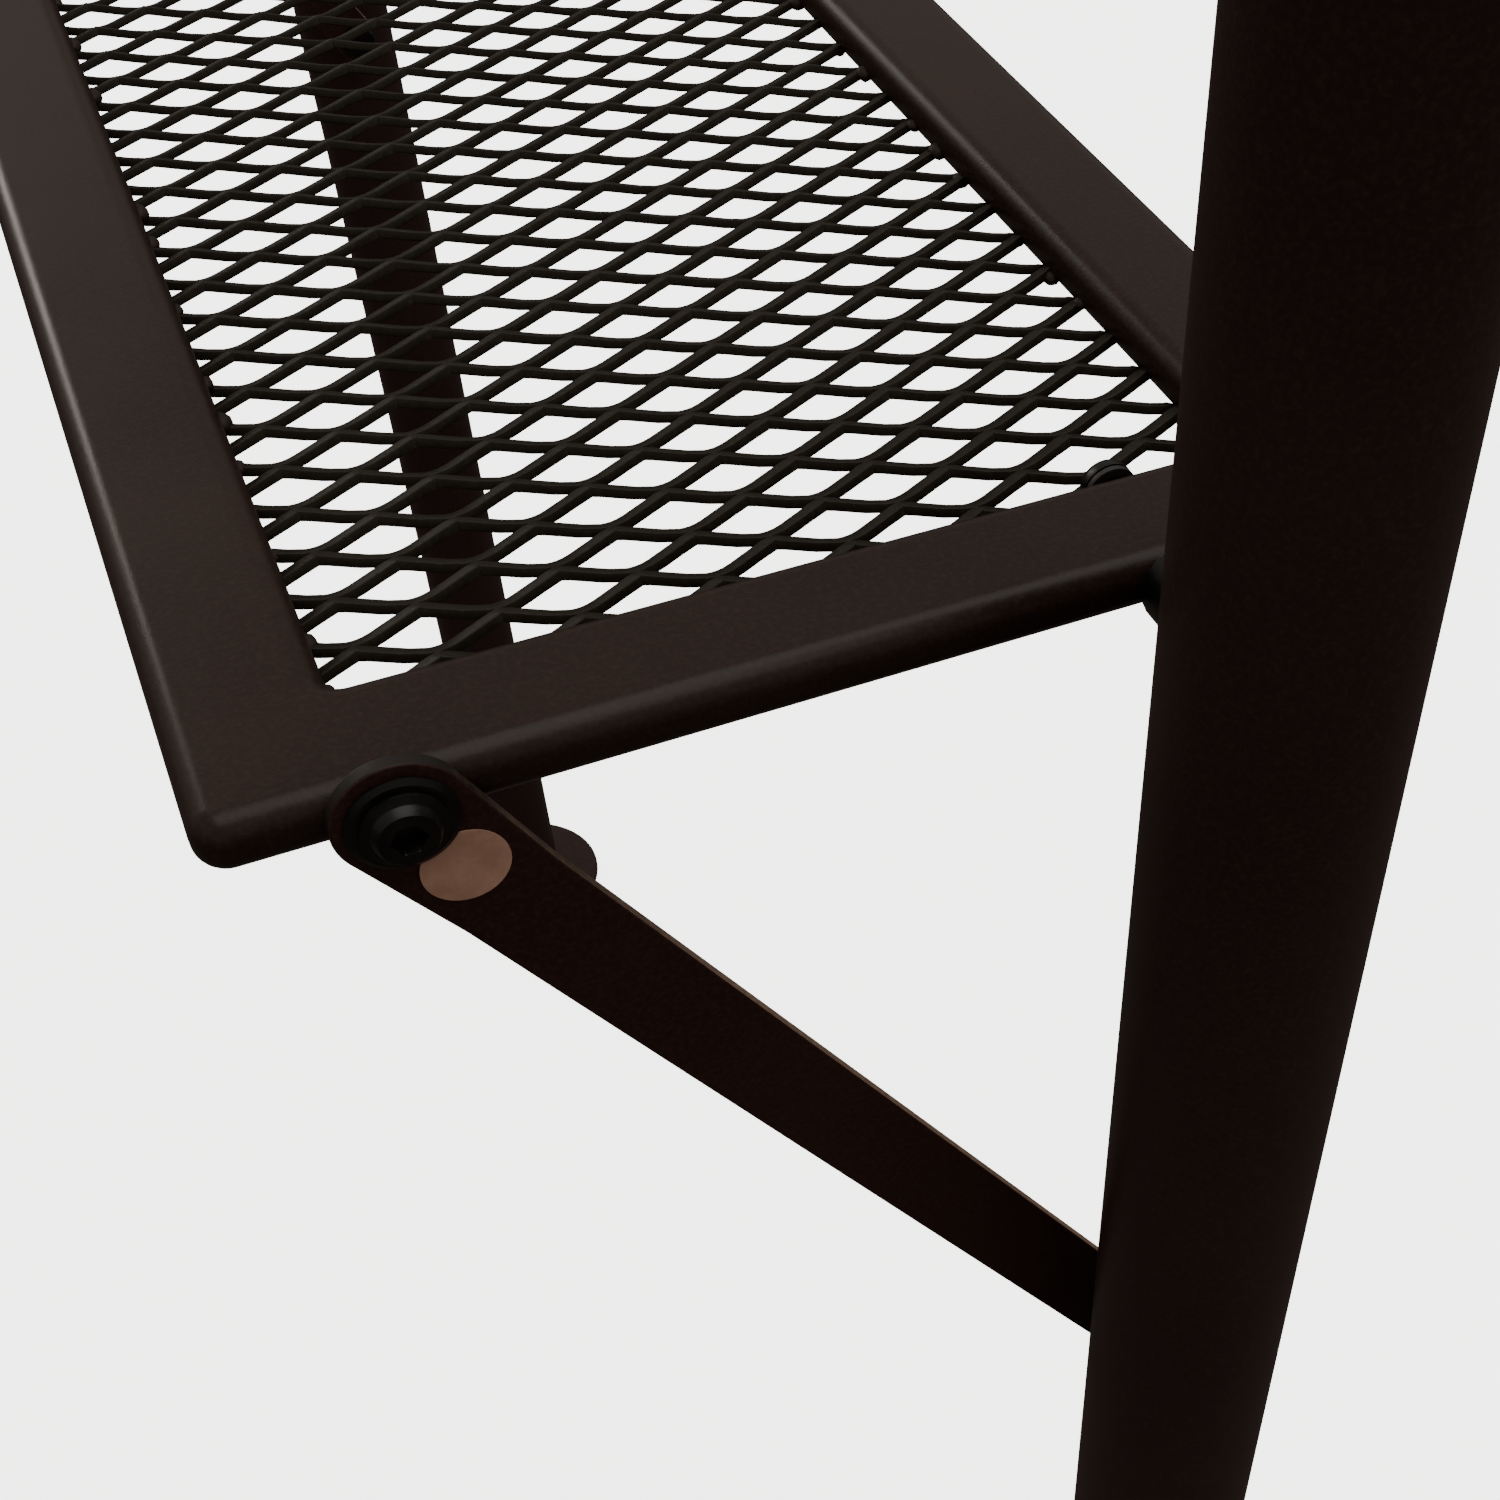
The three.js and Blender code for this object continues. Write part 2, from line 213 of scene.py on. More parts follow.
def footRubber():
    t = Tree("footRubber")
    place = t.coords()
    grain = t.noise(place, 700.0, 4.0, 0.7)
    dust = t.ramp(t.noise(place, 50.0, 5.0, 0.7), (0.5, 0.0), (0.8, 1.0))
    colour = t.mix(dust * 0.4, (0.011, 0.011, 0.011), (0.045, 0.042, 0.038))
    return t.fill(Base_Color=colour, Roughness=0.82 + (grain - 0.5) * 0.2, Normal=t.bump(grain, 0.5, 0.00015))


labelLook = {"paper": (0.58, 0.34, 0.245), "shade": (0.46, 0.26, 0.18)}


def paperLabel():
    t = Tree("paperLabel")
    place = t.coords()
    fibre = t.noise(place, 1300.0, 4.0, 0.7)
    cloud = t.noise(place, 190.0, 3.0, 0.6)
    paper = t.mix(t.ramp(cloud, (0.35, 0.0), (0.7, 1.0)), labelLook["shade"], labelLook["paper"])
    return t.fill(Base_Color=paper, Roughness=0.62 + (fibre - 0.5) * 0.25, Normal=t.bump(fibre, 0.3, 0.00008))


coats = {name: powderCoat(name) for name in coatLook}
steel, zinc, plastic, rubber = blackSteel(), zincPlate(), mouldedPlastic(), footRubber()
print("materials made")


def asPiece(bm, name, materials, body, replaced=(), sharp=32):
    bmesh.ops.remove_doubles(bm, verts=bm.verts, dist=0.000002)
    mesh = bpy.data.meshes.new(name)
    bm.to_mesh(mesh)
    bm.free()
    for face in mesh.polygons:
        face.use_smooth = True
    mesh.set_sharp_from_angle(angle=math.radians(sharp))
    piece = bpy.data.objects.new(name, mesh)
    bpy.context.scene.collection.objects.link(piece)
    for material in materials if isinstance(materials, (list, tuple)) else [materials]:
        mesh.materials.append(material)
    # flat faces stay flat in shading beside their rounded edges
    piece.modifiers.new("flatFaces", "WEIGHTED_NORMAL").keep_sharp = True
    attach(piece, body)
    if replaced:
        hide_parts(*replaced)
    return piece


def turned(points, axis, centre, steps=64):
    # spins a (radius, height) outline about an axis through centre
    bm = bmesh.new()
    axis = Vector(axis)
    side = Vector((1, 0, 0)) if abs(axis.x) < 0.5 else Vector((0, 1, 0))
    verts = [bm.verts.new(Vector(centre) + side * r + axis * h) for r, h in points]
    edges = [bm.edges.new(pair) for pair in zip(verts, verts[1:])]
    bmesh.ops.spin(bm, geom=verts + edges, cent=centre, axis=axis, dvec=(0, 0, 0),
                   angle=2 * math.pi, steps=steps, use_merge=True, use_duplicate=False)
    bmesh.ops.remove_doubles(bm, verts=bm.verts, dist=0.000005)
    bmesh.ops.recalc_face_normals(bm, faces=bm.faces)
    return bm


def rounded(points, radius, steps=4):
    # rounds the inner corners of an open (radius, height) outline
    out = [points[0]]
    for before, here, after in zip(points, points[1:], points[2:]):
        a, b, c = Vector(before), Vector(here), Vector(after)
        reach = min(radius, (a - b).length * 0.45, (c - b).length * 0.45)
        start, end = b + (a - b).normalized() * reach, b + (c - b).normalized() * reach
        for i in range(steps + 1):
            k = i / steps
            out.append(tuple((1 - k) ** 2 * start + 2 * k * (1 - k) * b + k ** 2 * end))
    return out + [points[-1]]


trayLow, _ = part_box("outer_rail")
_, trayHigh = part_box("inner_rail")
tray = {
    "x": trayHigh.x, "y": 400 * mm, "bottom": trayLow.z, "top": trayHigh.z,
    "rail": 27.5 * mm, "edge": 4.7 * mm, "corner": 5.5 * mm, "least": 0.3 * mm, "fillet": 3.0 * mm,
    "steps": 10, "bends": 8,
}


def cornerPoints(x, y, radius, steps):
    # corners of a rounded rectangle, counter-clockwise
    points = []
    for sx, sy, start in ((1, 1, 0), (-1, 1, 90), (-1, -1, 180), (1, -1, 270)):
        for i in range(steps + 1):
            a = math.radians(start + 90 * i / steps)
            points.append((sx * (x - radius) + radius * math.cos(a),
                           sy * (y - radius) + radius * math.sin(a)))
    return points


def frameBlank():
    # the rounded tube section carried round the frame as rings, outer side first
    bm = bmesh.new()
    steps, bends = tray["steps"], tray["bends"]
    r, top, bottom = tray["edge"], tray["top"], tray["bottom"]
    xi, yi = tray["x"] - tray["rail"], tray["y"] - tray["rail"]
    quarter = [math.radians(90 * i / bends) for i in range(bends + 1)]
    rising = [(r * (1 - math.sin(a)), bottom + r * (1 - math.cos(a))) for a in quarter]
    falling = [(depth, top + bottom - z) for depth, z in reversed(rising)]
    side = rising + falling
    outlines = []
    for depth, z in side:
        radius = max(tray["corner"] - depth, tray["least"])
        outline = cornerPoints(tray["x"] - depth, tray["y"] - depth, radius, steps)
        outlines.append([(x, y, z) for x, y in outline])
    for depth, z in reversed(side):
        outline = cornerPoints(xi + depth, yi + depth, tray["fillet"] + depth, steps)
        outlines.append([(x, y, z) for x, y in outline])
    ring = [bm.verts.new(point) for point in outlines[0]]
    loop = [bm.edges.new(pair) for pair in zip(ring, ring[1:] + ring[:1])]
    for outline in outlines[1:] + outlines[:1]:
        order = {vert.co.to_tuple(7): i for i, vert in enumerate(ring)}
        grown = bmesh.ops.extrude_edge_only(bm, edges=loop)["geom"]
        fresh = [g for g in grown if isinstance(g, bmesh.types.BMVert)]
        ring = sorted(fresh, key=lambda vert: order[vert.co.to_tuple(7)])
        loop = [g for g in grown if isinstance(g, bmesh.types.BMEdge) and all(v in fresh for v in g.verts)]
        for vert, point in zip(ring, outline):
            vert.co = point
    bmesh.ops.remove_doubles(bm, verts=bm.verts, dist=0.000001)
    bmesh.ops.recalc_face_normals(bm, faces=bm.faces)
    return bm


blank = frameBlank()
mitres = {"near_rail": (0, -1), "far_rail": (0, 1), "outer_rail": (-1, 0), "inner_rail": (1, 0)}
for node, (dx, dy) in mitres.items():
    bm = blank.copy()
    cx, cy = tray["x"] - tray["rail"] / 2, tray["y"] - tray["rail"] / 2
    for turn in (-1, 1):
        # the two 45 degree cuts at this rail's ends
        if dy:
            corner, out = (turn * cx, dy * cy, 0), Vector((turn, -dy, 0))
        else:
            corner, out = (dx * cx, turn * cy, 0), Vector((-dx, turn, 0))
        geom = bm.verts[:] + bm.edges[:] + bm.faces[:]
        bmesh.ops.bisect_plane(bm, geom=geom, plane_co=corner, plane_no=out.normalized(), clear_outer=True)
    if dx:
        geom = bm.verts[:] + bm.edges[:] + bm.faces[:]
        bmesh.ops.bisect_plane(bm, geom=geom, plane_co=(0, 0, 0), plane_no=(-dx, 0, 0), clear_outer=True)
    loose = [e for e in bm.edges if e.is_boundary]
    bmesh.ops.holes_fill(bm, edges=loose, sides=0)
    asPiece(bm, node.replace("_rail", "Rail"), coats["frame"], "tray", [node])
blank.free()
print("tray frame made")

strands = {
    "long": 25.4 * mm, "short": 14.483 * mm, "width": 3.7 * mm, "thick": 1.9 * mm, "tilt": -25.0,
    "bend": 0.34, "soft": 0.25 * mm, "x0": -2.33 * mm, "y0": 0.32 * mm, "z": 857.0 * mm,
    "steps": (0.0, 0.10, 0.21, 0.34, 0.62, 0.90, 1.0),
}


def rise(s):
    # height of a strand between its low, rounded bend (0) and its high, sharp one (1)
    a = strands["bend"]
    low = (s * s + a * a) / (2 * a) if s < a else s
    return (low - a / 2) / (1 - a / 2)


def ribbon(phase, y):
    # one strip of strands, from wall to wall of the frame
    half, step = strands["long"] / 2, strands["short"] / 2
    tilt = math.radians(strands["tilt"])
    bond = Vector((0, math.cos(tilt), math.sin(tilt))) * strands["width"]
    limit = tray["x"] - tray["rail"] + 2.0 * mm
    first = math.floor((-limit - phase) / half) - 1
    rows = []
    for i in range(first, first + int(2 * limit / half) + 4):
        for k in strands["steps"][:-1]:
            s = k if i % 2 == 0 else 1 - k
            level = rise(s)
            slope = (rise(min(s + 0.01, 1)) - rise(max(s - 0.01, 0))) / 0.02 * (1 if i % 2 == 0 else -1)
            if s in (0.0, 1.0):
                slope = 0.0
            across = Vector((-slope * step, half, 0)).normalized() * math.cos(tilt)
            across += Vector((0, 0, math.sin(tilt)))
            middle = Vector((phase + (i + k) * half, y + step * level, strands["z"])) + bond * (0.5 - level)
            if abs(middle.x) <= limit:
                rows.append((middle - across * strands["width"] / 2, middle + across * strands["width"] / 2))
    bm = bmesh.new()
    near = [bm.verts.new(a) for a, _ in rows]
    for a, b in zip(near, near[1:]):
        bm.edges.new((a, b))
    grown = bmesh.ops.extrude_edge_only(bm, edges=bm.edges[:])
    moved = [g for g in grown["geom"] if isinstance(g, bmesh.types.BMVert)]
    for vert, (a, b) in zip(sorted(moved, key=lambda v: v.co.x), sorted(rows, key=lambda r: r[0].x)):
        vert.co = b
    bmesh.ops.recalc_face_normals(bm, faces=bm.faces)
    bmesh.ops.solidify(bm, geom=bm.faces[:], thickness=strands["thick"])
    bmesh.ops.recalc_face_normals(bm, faces=bm.faces)
    long = [e for e in bm.edges if len(e.link_faces) == 2 and e.calc_face_angle(0) > 1.0]
    bmesh.ops.bevel(bm, geom=long, offset=strands["soft"], offset_type="OFFSET", affect="EDGES", segments=1,
                    profile=0.5, material=-1)
    return bm


def expandedMetal():
    step = strands["short"] / 2
    reach = tray["y"] - tray["rail"] + 2 * mm
    first = math.floor((-reach - strands["y0"]) / step)
    last = math.floor((reach - strands["y0"]) / step)
    whole = bmesh.new()
    store = bpy.data.meshes.new("ribbon")
    for k in range(first, last):
        phase = strands["x0"] + (strands["long"] / 2 if k % 2 == 0 else 0.0)
        strip = ribbon(phase, strands["y0"] + k * step)
        strip.to_mesh(store)
        strip.free()
        whole.from_mesh(store)
    bpy.data.meshes.remove(store)
    print("expanded metal faces:", len(whole.faces))
    asPiece(whole, "expandedMesh", coats["mesh"], "tray", ["mesh_panel"], sharp=50)


expandedMetal()
print("expanded metal made")

weld = {"wide": 2.6 * mm, "tall": 1.6 * mm, "deep": 2.0 * mm, "seed": 7}


def meshWelds():
    # small uneven tacks where the strands meet the frame
    rng = random.Random(weld["seed"])
    bm = bmesh.new()
    xi, yi = tray["x"] - tray["rail"], tray["y"] - tray["rail"]
    step = strands["short"]
    spots = []
    for i in range(int(2 * yi / step)):
        for side in (-1, 1):
            spots.append((side * xi, -yi + (i + 0.5) * step + rng.uniform(-1.5, 1.5) * mm, 0))
    for i in range(int(2 * xi / strands["long"])):
        for side in (-1, 1):
            spots.append((-xi + (i + 0.5) * strands["long"] + rng.uniform(-3, 3) * mm, side * yi, 1))
    for x, y, turn in spots:
        if rng.random() < 0.3 or (turn and abs(x - pivotPos.x) < 16 * mm):
            continue
        size = rng.uniform(0.7, 1.15)
        along, deep = weld["wide"] * size, weld["deep"] * size
        scale = (along, deep, weld["tall"] * size) if turn else (deep, along, weld["tall"] * size)
        spot = Matrix.Translation((x, y, strands["z"] + rng.uniform(-0.6, 0.9) * mm))
        place = spot @ Matrix.Diagonal((*scale, 1))
        made = bmesh.ops.create_icosphere(bm, subdivisions=2, radius=1.0, matrix=place)
        for vert in made["verts"]:
            vert.co += Vector((1, 1, 1)) * 0.25 * mm * noise.noise(vert.co * 900)
    asPiece(bm, "meshWelds", coats["weld"], "tray", sharp=80)


meshWelds()
print("mesh welds made")

post = {"radius": 22.5 * mm, "bore": 21.0 * mm, "lip": 0.4 * mm, "steps": 128}
foot = {"edge": 1.4 * mm, "chamfer": 0.6 * mm, "bead": 3.4 * mm, "sink": 0.5 * mm, "rough": 0.45 * mm,
        "ripples": 46, "groove": 0.5 * mm}
cap = {"gap": 0.3 * mm, "rim": 0.5 * mm, "foot": 0.2 * mm, "low": 0.8 * mm, "high": 2.6 * mm, "drop": 1.3 * mm,
       "crown": 0.25 * mm, "shoulder": 0.93, "inner": 0.62, "round": 1.6 * mm}


def postSet(end, side):
    low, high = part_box(end + "_post")
    centre = Vector(((low.x + high.x) / 2, (low.y + high.y) / 2, 0))
    r, b, lip = post["radius"], post["bore"], post["lip"]
    wall = [(b, low.z), (r - lip, low.z), (r, low.z + lip), (r, high.z - lip), (r - lip, high.z), (b, high.z),
            (b, low.z)]
    asPiece(turned(wall, (0, 0, 1), centre, post["steps"]), end + "Post", coats["post"], "frame",
            [end + "_post"], sharp=40)

    low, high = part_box(end + "_post_cap")
    base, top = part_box(end + "_post")[1].z + cap["gap"], high.z
    plug, rim = b - cap["gap"], r + cap["rim"]
    dome = [(0, low.z), (plug, low.z), (plug, base), (r + cap["foot"], base), (rim, base + cap["low"]),
            (rim, base + cap["high"]), (r * cap["shoulder"], top - cap["drop"]),
            (r * cap["inner"], top - cap["crown"]), (0, top)]
    asPiece(turned(rounded(dome, cap["round"]), (0, 0, 1), centre, 96), end + "PostCap", plastic, "frame",
            [end + "_post_cap"], sharp=50)

    low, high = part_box(end + "_foot_plate")
    wide, e = (high.x - low.x) / 2, foot["edge"]
    chamfer = foot["chamfer"]
    plate = [(0, low.z), (wide - chamfer, low.z), (wide, low.z + chamfer), (wide, high.z - e),
             (wide - e, high.z), (0, high.z)]
    asPiece(turned(rounded(plate, e, 5), (0, 0, 1), centre, 128), end + "FootPlate", coats["post"], "frame",
            [end + "_foot_plate"], sharp=40)

    # weld bead between plate and post, with the ripples of a hand weld
    bead = foot["bead"]
    outline = [(r - foot["sink"], high.z - 0.4 * mm)]
    for i in range(7):
        a = math.radians(90 * i / 6)
        outline.append((r + bead * math.cos(a), high.z + bead * math.sin(a) * 0.9))
    outline += [(r - foot["sink"], high.z + bead * 0.9), (r - foot["sink"], high.z - 0.4 * mm)]
    bm = turned(outline, (0, 0, 1), centre, 160)
    for vert in bm.verts:
        out = Vector((vert.co.x - centre.x, vert.co.y - centre.y, 0))
        if out.length > r + 0.2 * mm:
            angle = math.atan2(out.y, out.x)
            drift = 2 * noise.noise(Vector((math.cos(angle), math.sin(angle), side)))
            ripple = math.sin(angle * foot["ripples"] + drift)
            vert.co += out.normalized() * foot["rough"] * (0.5 * ripple + noise.noise(vert.co * 260))
    asPiece(bm, end + "FootWeld", coats["weld"], "frame", sharp=60)

    low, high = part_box(end + "_foot_pad")
    wide, g = (high.x - low.x) / 2, foot["groove"]
    pad = [(0, 0), (wide - 1.0 * mm, 0), (wide - 0.2 * mm, 0.5 * mm), (wide, 0.9 * mm), (wide - g, 1.3 * mm),
           (wide - g, 1.7 * mm), (wide, 2.1 * mm), (wide, high.z - 0.2 * mm), (wide - 0.4 * mm, high.z),
           (0, high.z)]
    asPiece(turned(pad, (0, 0, 1), centre, 128), end + "FootPad", rubber, "frame",
            [end + "_foot_pad"], sharp=50)


for end, side in ends:
    postSet(end, side)
print("posts and feet made")

braceBolt = {"shank": 3.0 * mm, "washer": 9.2 * mm, "hole": 3.3 * mm, "flange": 7.1 * mm, "dome": 5.7 * mm,
             "low": 0.9 * mm, "socket": 2.6 * mm, "deep": 2.2 * mm}
pivotBolt = {"shank": 3.0 * mm, "head": 3.4 * mm, "socket": 2.1 * mm, "deep": 1.6 * mm}
restScrew = {"thread": 4.0 * mm, "shoulder": 5.0 * mm, "head": 3.0 * mm, "seat": 6.8 * mm, "socket": 2.6 * mm,
             "deep": 1.6 * mm}


def hexSocket(bm, rim, centre, axis, flat, depth):
    # turns the open rim of a head into a six-sided socket; flat is half the distance across flats
    axis, centre = Vector(axis), Vector(centre)
    grown = bmesh.ops.extrude_edge_only(bm, edges=rim)
    ring = [g for g in grown["geom"] if isinstance(g, bmesh.types.BMVert)]
    edges = [g for g in grown["geom"] if isinstance(g, bmesh.types.BMEdge) and all(v in ring for v in g.verts)]
    for vert in ring:
        away = vert.co - centre
        height = away.dot(axis)
        out = away - axis * height
        angle = math.atan2(out.z, out.x) % (math.pi / 3) - math.pi / 6
        vert.co = centre + axis * (height - 0.15 * mm) + out.normalized() * flat / math.cos(angle)
    grown = bmesh.ops.extrude_edge_only(bm, edges=edges)
    floorRing = [g for g in grown["geom"] if isinstance(g, bmesh.types.BMVert)]
    floorEdges = [g for g in grown["geom"]
                  if isinstance(g, bmesh.types.BMEdge) and all(v in floorRing for v in g.verts)]
    bmesh.ops.translate(bm, verts=floorRing, vec=-axis * depth)
    bmesh.ops.contextual_create(bm, geom=floorEdges)
    bmesh.ops.recalc_face_normals(bm, faces=bm.faces)


def screwHead(points, centre, axis, flat, depth, steps=96):
    # points run from the shank's end on the axis to the open rim of the socket
    bm = turned(points, axis, centre, steps)
    rim = [e for e in bm.edges if e.is_boundary]
    hexSocket(bm, rim, centre, axis, flat, depth)
    return bm


def boltSet(end, side):
    axis = Vector((0, side, 0))
    # brace bolt: threaded shank, flange, domed head
    low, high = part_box(end + "_brace_bolt")
    centre = Vector(((low.x + high.x) / 2, 0, (low.z + high.z) / 2))
    inner, outer = sorted((abs(low.y), abs(high.y)))
    wLow, wHigh = sorted(abs(c.y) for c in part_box(end + "_brace_washer"))
    under, top = wHigh + 0.3 * mm, outer - braceBolt["low"]
    f, d = braceBolt["flange"], braceBolt["dome"]
    shank = braceBolt["shank"]
    head = [(0, inner), (shank, inner), (shank, under), (f, under), (f, under + 0.7 * mm),
            (d + 0.1 * mm, under + 1.2 * mm), (d, under + 1.3 * mm), (d * 0.97, under + 2.0 * mm),
            (d * 0.86, under + 2.9 * mm), (d * 0.68, top - 0.25 * mm), (d * 0.58, top), (d * 0.52, top)]
    bolt = screwHead(head, centre, axis, braceBolt["socket"], braceBolt["deep"])
    asPiece(bolt, end + "BraceBolt", steel, "tray", [end + "_brace_bolt"], sharp=38)
    w = braceBolt["washer"]
    hole = braceBolt["hole"]
    ring = [(hole, wLow), (w - 0.3 * mm, wLow), (w, wLow + 0.3 * mm), (w, wHigh - 0.6 * mm),
            (w - 1.0 * mm, wHigh), (hole, wHigh), (hole, wLow)]
    asPiece(turned(ring, axis, centre, 96), end + "BraceWasher", steel, "tray",
            [end + "_brace_washer"], sharp=30)

    # pivot bolt: its head is inside the tray
    low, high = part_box(end + "_pivot_bolt")
    centre = Vector(((low.x + high.x) / 2, 0, (low.z + high.z) / 2))
    inner, outer = sorted((abs(low.y), abs(high.y)))
    h = (high.x - low.x) / 2
    shank, under = pivotBolt["shank"], -inner - pivotBolt["head"]
    head = [(0, -outer), (shank, -outer), (shank, under), (h, under), (h, -inner - 2.2 * mm),
            (h * 0.9, -inner - 0.9 * mm), (h * 0.7, -inner - 0.15 * mm), (h * 0.55, -inner)]
    bolt = screwHead(head, centre, -axis, pivotBolt["socket"], pivotBolt["deep"])
    asPiece(bolt, end + "PivotBolt", steel, "frame", [end + "_pivot_bolt"], sharp=38)

    # rest screw: head, shoulder, thread
    low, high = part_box(end + "_rest_screw")
    centre = Vector(((low.x + high.x) / 2, 0, (low.z + high.z) / 2))
    inner, outer = sorted((abs(low.y), abs(high.y)))
    h = (high.x - low.x) / 2
    face, seat = inner + restScrew["head"], inner + restScrew["seat"]
    thread, shoulder = restScrew["thread"], restScrew["shoulder"]
    head = [(0, -outer), (thread, -outer), (thread, -seat), (shoulder, -seat), (shoulder, -face),
            (h - 0.3 * mm, -face), (h, -face + 0.3 * mm), (h, -inner - 1.3 * mm),
            (h - 0.4 * mm, -inner - 0.5 * mm), (h - 1.2 * mm, -inner), (h * 0.55, -inner)]
    screw = screwHead(head, centre, -axis, restScrew["socket"], restScrew["deep"])
    asPiece(screw, end + "RestScrew", steel, "frame", [end + "_rest_screw"], sharp=38)


for end, side in ends:
    boltSet(end, side)


def softened(node, name, material, body, width=0.35 * mm, segments=2):
    # a copy of a CAD piece with its sharp edges broken
    bm = bmesh.new()
    bm.from_mesh(frame["nodes"][node].data)
    bmesh.ops.remove_doubles(bm, verts=bm.verts, dist=0.00001)
    bmesh.ops.dissolve_limit(bm, angle_limit=math.radians(1), verts=bm.verts, edges=bm.edges)
    crisp = [e for e in bm.edges if len(e.link_faces) == 2 and e.calc_face_angle(0) > math.radians(40)]
    bmesh.ops.bevel(bm, geom=crisp, offset=width, offset_type="OFFSET", affect="EDGES", segments=segments,
                    profile=0.5, material=-1, clamp_overlap=True)
    return asPiece(bm, name, material, body, [node], sharp=36)


for end, side in ends:
    softened(end + "_pivot_spacer", end + "PivotSpacer", steel, "frame")
    softened(end + "_rest_collar", end + "RestCollar", steel, "frame")
    softened(end + "_pivot_washer", end + "PivotWasher", plastic, "frame", 0.2 * mm)
print("screws made")

brace = {"half": 10 * mm, "eye": 11.2 * mm, "taper": 27 * mm, "lip": 12 * mm, "corner": 3 * mm,
         "hole": 3.3 * mm, "notch": 5.3 * mm, "angle": 58.9, "soft": 0.45 * mm}


def arc(u, v, radius, start, stop, step):
    angles = [math.radians(a) for a in range(start, stop, step)]
    return [(u + radius * math.cos(a), v + radius * math.sin(a)) for a in angles]


def bracePiece(end, side):
    joint = jointPos[end + "_brace_swing"]
    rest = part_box(end + "_rest_screw")
    restX, restZ = (rest[0].x + rest[1].x) / 2, (rest[0].z + rest[1].z) / 2
    length = math.hypot(restX - joint.x, restZ - joint.z)
    yLow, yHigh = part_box(end + "_brace")[0].y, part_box(end + "_brace")[1].y
    h, stop = brace["half"], length + brace["lip"]
    angle = math.radians(brace["angle"])
    along = Vector((math.cos(angle), 0, -math.sin(angle)))
    upper = Vector((math.sin(angle), 0, math.cos(angle)))
    c, taper = brace["corner"], brace["taper"]
    outline = arc(0, 0, brace["eye"], 90, 271, 5) + [(taper, -h)]
    outline += arc(stop - c, c - h, c, -90, 1, 15) + arc(stop - c, h - c, c, 0, 91, 15) + [(taper, h)]

    def place(u, v):
        return Vector((joint.x, yLow, joint.z)) + along * u + upper * v

    bm = bmesh.new()
    rim = [bm.verts.new(place(u, v)) for u, v in outline]
    rimEdges = [bm.edges.new((a, b)) for a, b in zip(rim, rim[1:] + rim[:1])]
    hole = [bm.verts.new(place(brace["hole"] * math.cos(a), brace["hole"] * math.sin(a)))
            for a in (2 * math.pi * i / 32 for i in range(32))]
    holeEdges = [bm.edges.new((a, b)) for a, b in zip(hole, hole[1:] + hole[:1])]
    bmesh.ops.triangle_fill(bm, edges=rimEdges + holeEdges, use_beauty=True)
    # the notch: drop what lies below its level wall and beyond its upright one
    corner = Vector((restX - brace["notch"], 0, restZ + brace["notch"]))
    for normal in ((1, 0, 0), (0, 0, -1)):
        geom = bm.verts[:] + bm.edges[:] + bm.faces[:]
        bmesh.ops.bisect_plane(bm, geom=geom, plane_co=corner, plane_no=normal)
    cut = [f for f in bm.faces if f.calc_center_median().x > corner.x and f.calc_center_median().z < corner.z]
    bmesh.ops.delete(bm, geom=cut, context="FACES")
    bmesh.ops.dissolve_limit(bm, angle_limit=math.radians(1), verts=bm.verts, edges=bm.edges)
    grown = bmesh.ops.extrude_face_region(bm, geom=bm.faces[:])
    raised = [g for g in grown["geom"] if isinstance(g, bmesh.types.BMVert)]
    bmesh.ops.translate(bm, verts=raised, vec=(0, yHigh - yLow, 0))
    bmesh.ops.recalc_face_normals(bm, faces=bm.faces)
    crisp = [e for e in bm.edges if len(e.link_faces) == 2 and e.calc_face_angle(0) > 0.8]
    bmesh.ops.bevel(bm, geom=crisp, offset=brace["soft"], offset_type="OFFSET", affect="EDGES", segments=3,
                    profile=0.5, material=-1, clamp_overlap=True)
    for face in bm.faces:
        if abs(face.normal.y) < 0.5:
            face.material_index = 1
    asPiece(bm, end + "Brace", [coats["brace"], braceEdgeWearAndHighlight()], end + "_brace_body",
            [end + "_brace"], sharp=35)


for end, side in ends:
    bracePiece(end, side)
print("braces made")

stays = {"_brace_nut": zinc, "_pivot_nut": zinc, "_rest_nut": zinc, "_brace_label": paperLabel()}
for end, side in ends:
    for node, material in stays.items():
        for slot in frame["nodes"][end + node].material_slots:
            slot.material = material
print("CAD pieces finished")

studio = {"floor": 30, "dome": 28, "paint": (0.93, 0.93, 0.92, 1), "glow": (1, 1, 0.99, 1), "strength": 3.8}
paleCoat = Tree("paleFloor").fill(Base_Color=studio["paint"], Roughness=0.9, Emission_Color=studio["glow"],
                                  Emission_Strength=studio["strength"])


def stageSheet(name, bm):
    # shows pale without lighting the dark coat
    data = bpy.data.meshes.new(name)
    bm.to_mesh(data)
    bm.free()
    data.materials.append(paleCoat)
    sheet = bpy.data.objects.new(name, data)
    bpy.context.scene.collection.objects.link(sheet)
    sheet.visible_diffuse = sheet.visible_glossy = False
    return sheet


floorMesh, domeMesh = bmesh.new(), bmesh.new()
bmesh.ops.create_grid(floorMesh, x_segments=1, y_segments=1, size=studio["floor"])
bmesh.ops.create_uvsphere(domeMesh, u_segments=48, v_segments=24, radius=studio["dome"])
stageSheet("floor", floorMesh)
stageSheet("backdrop", domeMesh).visible_shadow = False

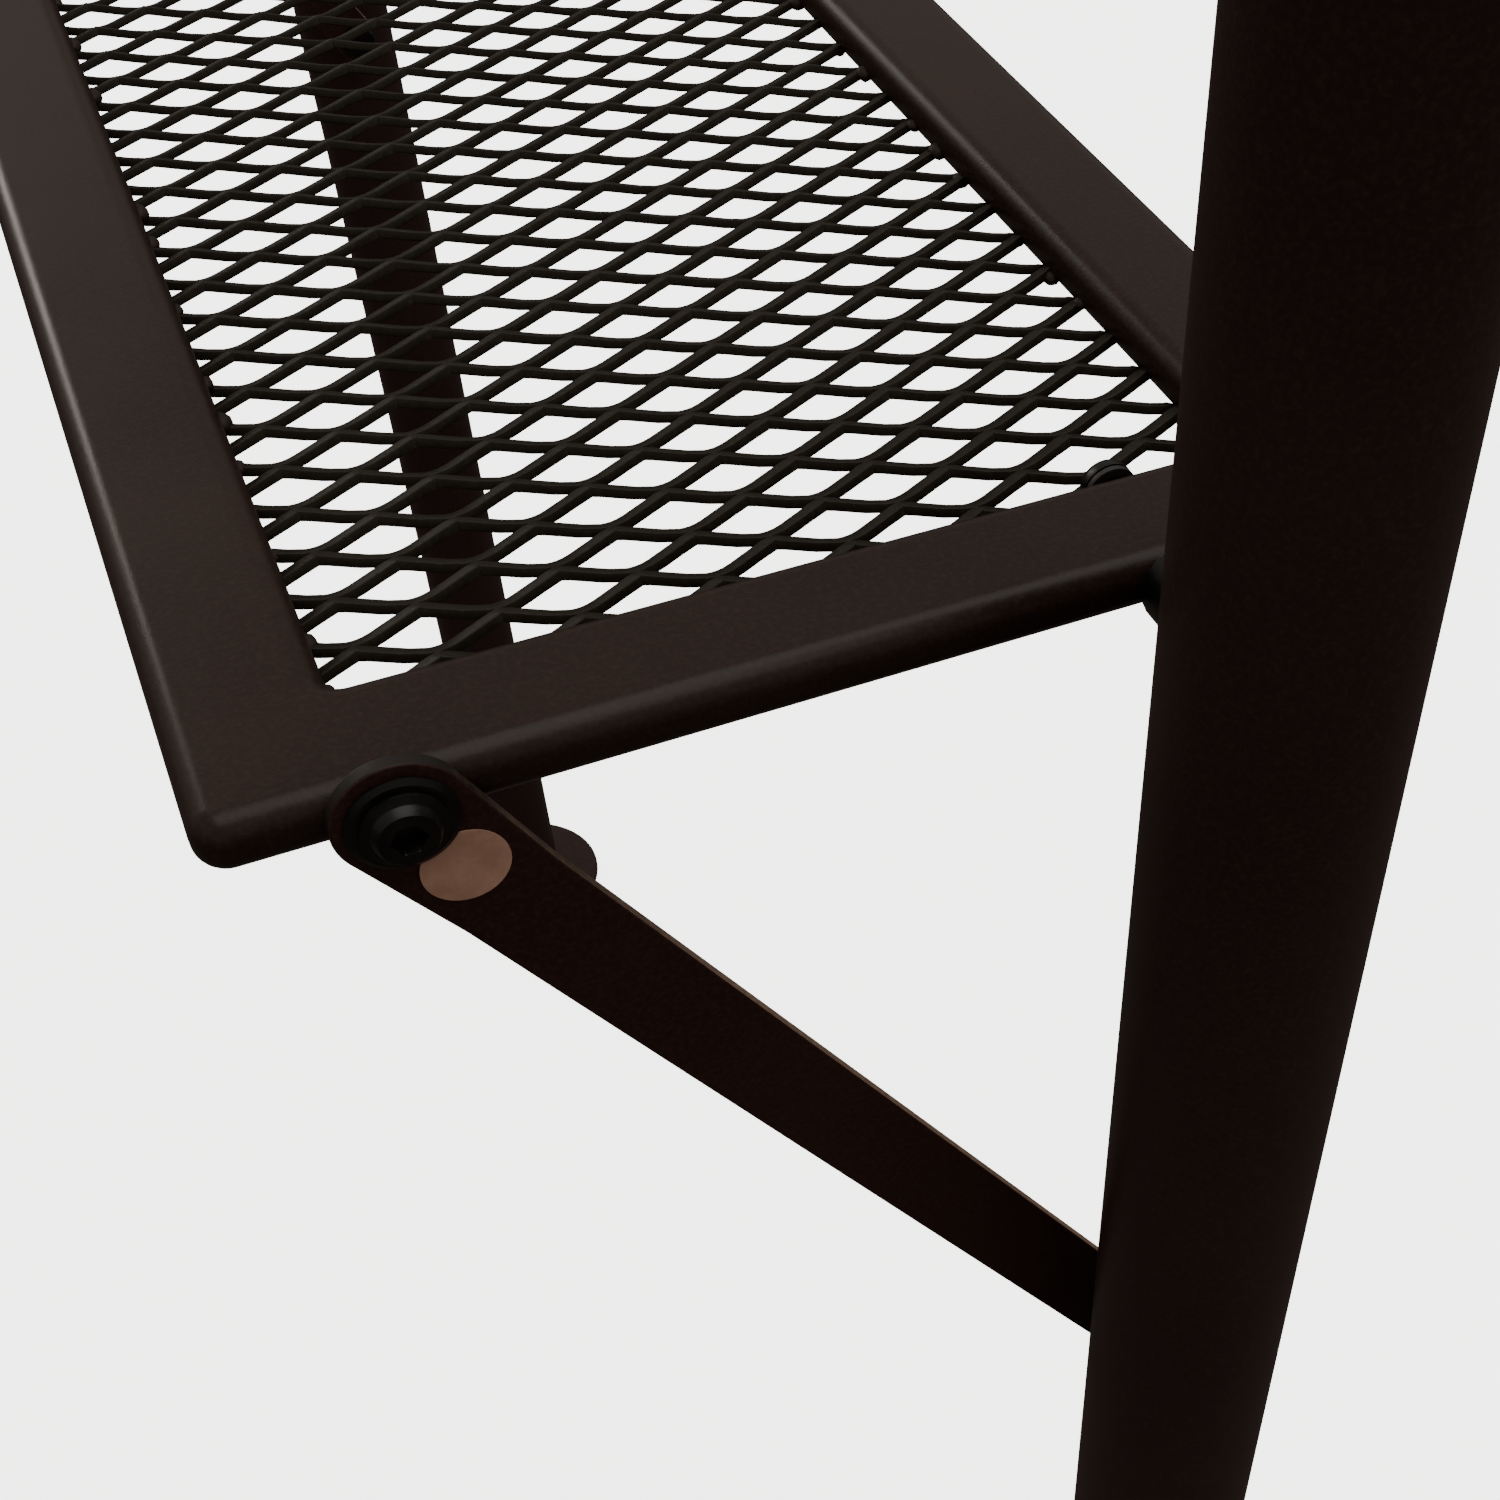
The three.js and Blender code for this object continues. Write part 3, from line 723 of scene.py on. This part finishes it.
world = bpy.data.worlds.new("studio")
bpy.context.scene.world = world
world.use_nodes = True
sky = {"from": -0.15, "to": 0.35, "above": (0.40, 0.37, 0.34, 1), "below": (0.075, 0.060, 0.052, 1)}
worldNodes, worldLinks = world.node_tree.nodes, world.node_tree.links
direction = worldNodes.new("ShaderNodeTexCoord")
height = worldNodes.new("ShaderNodeSeparateXYZ")
blend = worldNodes.new("ShaderNodeMapRange")
blend.inputs["From Min"].default_value, blend.inputs["From Max"].default_value = sky["from"], sky["to"]
shade = worldNodes.new("ShaderNodeMix")
shade.data_type = "RGBA"
shade.inputs[6].default_value, shade.inputs[7].default_value = sky["below"], sky["above"]
worldLinks.new(direction.outputs["Generated"], height.inputs[0])
worldLinks.new(height.outputs["Z"], blend.inputs["Value"])
worldLinks.new(blend.outputs["Result"], shade.inputs[0])
worldLinks.new(shade.outputs[2], worldNodes["Background"].inputs["Color"])

lamps = {
    "windowLight": {"at": (-1.02, 2.87, 1.95), "aim": (-0.1, 0, 0.86), "size": 0.4, "tall": 1.4, "power": 15,
                    "colour": (1.0, 0.93, 0.84)},
    "topLight": {"at": (0.6, -0.4, 3.4), "aim": (0, 0, 0.6), "size": 2.6, "tall": 2.6, "power": 40,
                 "colour": (1, 0.99, 0.97)},
}
for name, lamp in lamps.items():
    light = bpy.data.lights.new(name, "AREA")
    light.shape = "RECTANGLE"
    light.size, light.size_y = lamp["size"], lamp["tall"]
    light.energy, light.color = lamp["power"], lamp["colour"]
    holder = bpy.data.objects.new(name, light)
    holder.location = lamp["at"]
    holder.rotation_euler = (Vector(lamp["aim"]) - Vector(lamp["at"])).to_track_quat("-Z", "Y").to_euler()
    bpy.context.scene.collection.objects.link(holder)

view = {"at": (-0.10128, -0.64955, 1.08625), "turn": (42.0716, -1.1414, -25.6338), "lens": 49.463,
        "shift": (-0.1694, 0.1347)}
camera = bpy.data.objects.new("camera", bpy.data.cameras.new("camera"))
camera.location = view["at"]
camera.rotation_euler = [math.radians(a) for a in view["turn"]]
camera.data.sensor_width = 36
camera.data.lens = view["lens"]
camera.data.shift_x, camera.data.shift_y = view["shift"]
bpy.context.scene.collection.objects.link(camera)
bpy.context.scene.camera = camera
